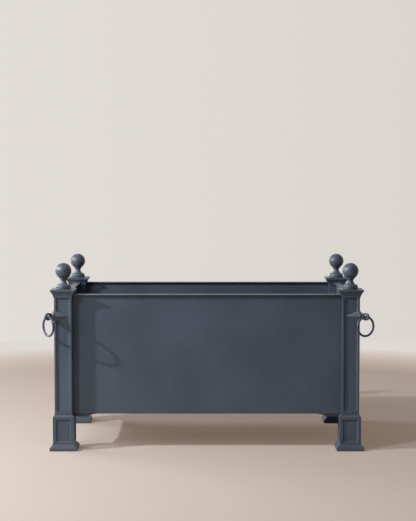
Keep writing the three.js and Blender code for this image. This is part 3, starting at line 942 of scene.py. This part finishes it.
def grown(name, tree, values):
    """The mesh that a Geometry Nodes tree makes with these values for its named inputs."""
    host = bpy.data.objects.new(name, bpy.data.meshes.new(name))
    bpy.context.scene.collection.objects.link(host)
    modifier = host.modifiers.new("grow", "NODES")
    modifier.node_group = tree
    for item in tree.interface.items_tree:
        if item.item_type == "SOCKET" and item.in_out == "INPUT" and item.name in values:
            modifier[item.identifier] = values[item.name]
    mesh = finished(host)
    bpy.data.objects.remove(host)
    return mesh


hammered = ring_tree(ring_paint)
joints = {joint["child"]: joint for joint in frame["joints"]}
for corner in CORNERS:
    joint = joints[f"{corner}_ring"]
    mesh = grown(f"ring_{corner}", hammered, RING_SIZES)
    axis = Vector(joint["axis"])
    face_on = Matrix.Rotation(math.atan2(axis.y, axis.x), 4, "Z") @ Matrix.Rotation(QUARTER, 4, "X")
    drop = Matrix.Translation(Vector(joint["pos_m"]) - Vector((0, 0, RING_SIZES["Ring Radius"])))
    mesh.transform(drop @ face_on)
    mesh.shade_smooth()
    piece = bpy.data.objects.new(f"ring_{corner}", mesh)
    bpy.context.scene.collection.objects.link(piece)
    dress(piece, ring_paint, "ring_paint", f"{corner}_ring", f"{corner}_ring")
print(f"ring: {len(mesh.polygons)} faces")

# %% [markdown]
# ## Panels, bars and rails
#
# The sheet panels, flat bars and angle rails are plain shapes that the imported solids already
# have right. A copy of each solid gets its doubled points merged and its flat faces cleared of
# diagonals, and then the same narrow bevel as the castings.


# %% Panels, bars and rails
def cleaned_copy(node):
    bm = bmesh.new()
    bm.from_mesh(frame["nodes"][node].data)
    bmesh.ops.remove_doubles(bm, verts=bm.verts, dist=1e-6)
    bmesh.ops.dissolve_limit(bm, angle_limit=math.radians(1), verts=bm.verts, edges=bm.edges)
    mesh = bpy.data.meshes.new(node)
    bm.to_mesh(mesh)
    bm.free()
    return mesh


SHEET_WORK = {
    "panel": {"paint": sheet_paint, "slot": "sheet_paint", "bevel": 0.5},
    "top_bar": {"paint": cast_paint, "slot": "cast_paint", "bevel": 0.6},
    "bottom_rail": {"paint": sheet_paint, "slot": "sheet_paint", "bevel": 0.4},
}
for side in SIDES:
    for kind, spec in SHEET_WORK.items():
        node = f"{side}_{kind}"
        mesh = cleaned_copy(node)
        piece = put(f"{kind}_{side}", mesh, Matrix.Scale(1 / MM, 4))
        soften(piece, spec["bevel"])
        dress(piece, spec["paint"], spec["slot"], "planter", node)
print(f"{len(SIDES) * len(SHEET_WORK)} sheet and bar pieces")

# %% [markdown]
# ## Screws of the floor
#
# The floor is held down on the legs of the rails by a row of round-head screws along each side.
# A row repeats one head on a line of points, so Geometry Nodes make it: a dome with a slot, set
# on each point and turned at random about its axis, since no two slots stop at the same angle.


# %% Screws of the floor
def screw_tree(material):
    tree = bpy.data.node_groups.new("screw_row", "GeometryNodeTree")
    face = tree.interface
    face.new_socket("Geometry", in_out="INPUT", socket_type="NodeSocketGeometry")
    face.new_socket("Count", in_out="INPUT", socket_type="NodeSocketInt").default_value = 8
    for name, value in (("Start", (0.0, 0.0, 0.0)), ("Step", (0.1, 0.0, 0.0))):
        face.new_socket(name, in_out="INPUT", socket_type="NodeSocketVector").default_value = value
    face.new_socket("Head Radius", in_out="INPUT", socket_type="NodeSocketFloat").default_value = 0.004
    face.new_socket("Geometry", in_out="OUTPUT", socket_type="NodeSocketGeometry")
    nodes, links = tree.nodes, tree.links
    given, result = nodes.new("NodeGroupInput"), nodes.new("NodeGroupOutput")
    row = nodes.new("GeometryNodeMeshLine")
    dome = nodes.new("GeometryNodeMeshUVSphere")
    dome.inputs["Segments"].default_value = 24
    dome.inputs["Rings"].default_value = 12
    flatter = nodes.new("GeometryNodeTransform")
    flatter.inputs["Scale"].default_value = (1, 1, 0.6)
    below = nodes.new("GeometryNodeMeshCube")
    below.inputs["Size"].default_value = (0.02, 0.02, 0.01)
    lowered = nodes.new("GeometryNodeTransform")
    lowered.inputs["Translation"].default_value = (0, 0, -0.005)
    slot = nodes.new("GeometryNodeMeshCube")
    slot.inputs["Size"].default_value = (0.02, 0.0009, 0.002)
    raised = nodes.new("GeometryNodeTransform")
    raised.inputs["Translation"].default_value = (0, 0, 0.0024)
    cut = nodes.new("GeometryNodeMeshBoolean")
    cut.operation = "DIFFERENCE"
    links.new(given.outputs["Count"], row.inputs["Count"])
    links.new(given.outputs["Start"], row.inputs["Start Location"])
    links.new(given.outputs["Step"], row.inputs["Offset"])
    links.new(given.outputs["Head Radius"], dome.inputs["Radius"])
    links.new(dome.outputs["Mesh"], flatter.inputs["Geometry"])
    links.new(below.outputs["Mesh"], lowered.inputs["Geometry"])
    links.new(slot.outputs["Mesh"], raised.inputs["Geometry"])
    links.new(flatter.outputs["Geometry"], cut.inputs["Mesh 1"])
    links.new(lowered.outputs["Geometry"], cut.inputs["Mesh 2"])
    links.new(raised.outputs["Geometry"], cut.inputs["Mesh 2"])
    turn = nodes.new("FunctionNodeRandomValue")
    turn.data_type = "FLOAT_VECTOR"
    turn.inputs["Min"].default_value = (0, 0, 0)
    turn.inputs["Max"].default_value = (0, 0, math.pi)
    turn.inputs["Seed"].default_value = 5
    heads = nodes.new("GeometryNodeInstanceOnPoints")
    realize = nodes.new("GeometryNodeRealizeInstances")
    finish = nodes.new("GeometryNodeSetMaterial")
    finish.inputs["Material"].default_value = material
    links.new(row.outputs["Mesh"], heads.inputs["Points"])
    links.new(cut.outputs["Mesh"], heads.inputs["Instance"])
    links.new(turn.outputs[0], heads.inputs["Rotation"])
    links.new(heads.outputs["Instances"], realize.inputs["Geometry"])
    links.new(realize.outputs["Geometry"], finish.inputs["Geometry"])
    links.new(finish.outputs["Geometry"], result.inputs["Geometry"])
    return tree


FLOOR_TOP = box_mm("floor")[1].z * MM
LEG_LINE = {"front": -0.200, "rear": 0.200, "left": -0.4045, "right": 0.4045}
ROWS = {
    "front": {"Count": 8, "Start": (-0.35, LEG_LINE["front"], FLOOR_TOP), "Step": (0.1, 0.0, 0.0)},
    "rear": {"Count": 8, "Start": (-0.35, LEG_LINE["rear"], FLOOR_TOP), "Step": (0.1, 0.0, 0.0)},
    "left": {"Count": 4, "Start": (LEG_LINE["left"], -0.15, FLOOR_TOP), "Step": (0.0, 0.1, 0.0)},
    "right": {"Count": 4, "Start": (LEG_LINE["right"], -0.15, FLOOR_TOP), "Step": (0.0, 0.1, 0.0)},
}
screw_row = screw_tree(zinc)
for side, values in ROWS.items():
    mesh = grown(f"screws_{side}", screw_row, values)
    smooth_by_angle(mesh)
    piece = bpy.data.objects.new(f"screws_{side}", mesh)
    bpy.context.scene.collection.objects.link(piece)
    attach(piece, "planter")
    print(f"{side} row: {values['Count']} screws, {len(mesh.polygons)} faces")

# %% [markdown]
# ## What stays as the solid is
#
# The floor, the channels under it and the tie rods with their nuts are right as they are, and
# they only take their finish.

# %% Finishes on the solids that stay
STAY = {"floor": sheet_paint, "floor_stiffener_left": sheet_paint, "floor_stiffener_right": sheet_paint}
for corner in CORNERS:
    STAY[f"{corner}_tie_rod"] = zinc
    STAY[f"{corner}_tie_nut"] = zinc
for node, material in STAY.items():
    for slot in frame["nodes"][node].material_slots:
        slot.material = material
print(f"{len(STAY)} solids keep their shape")
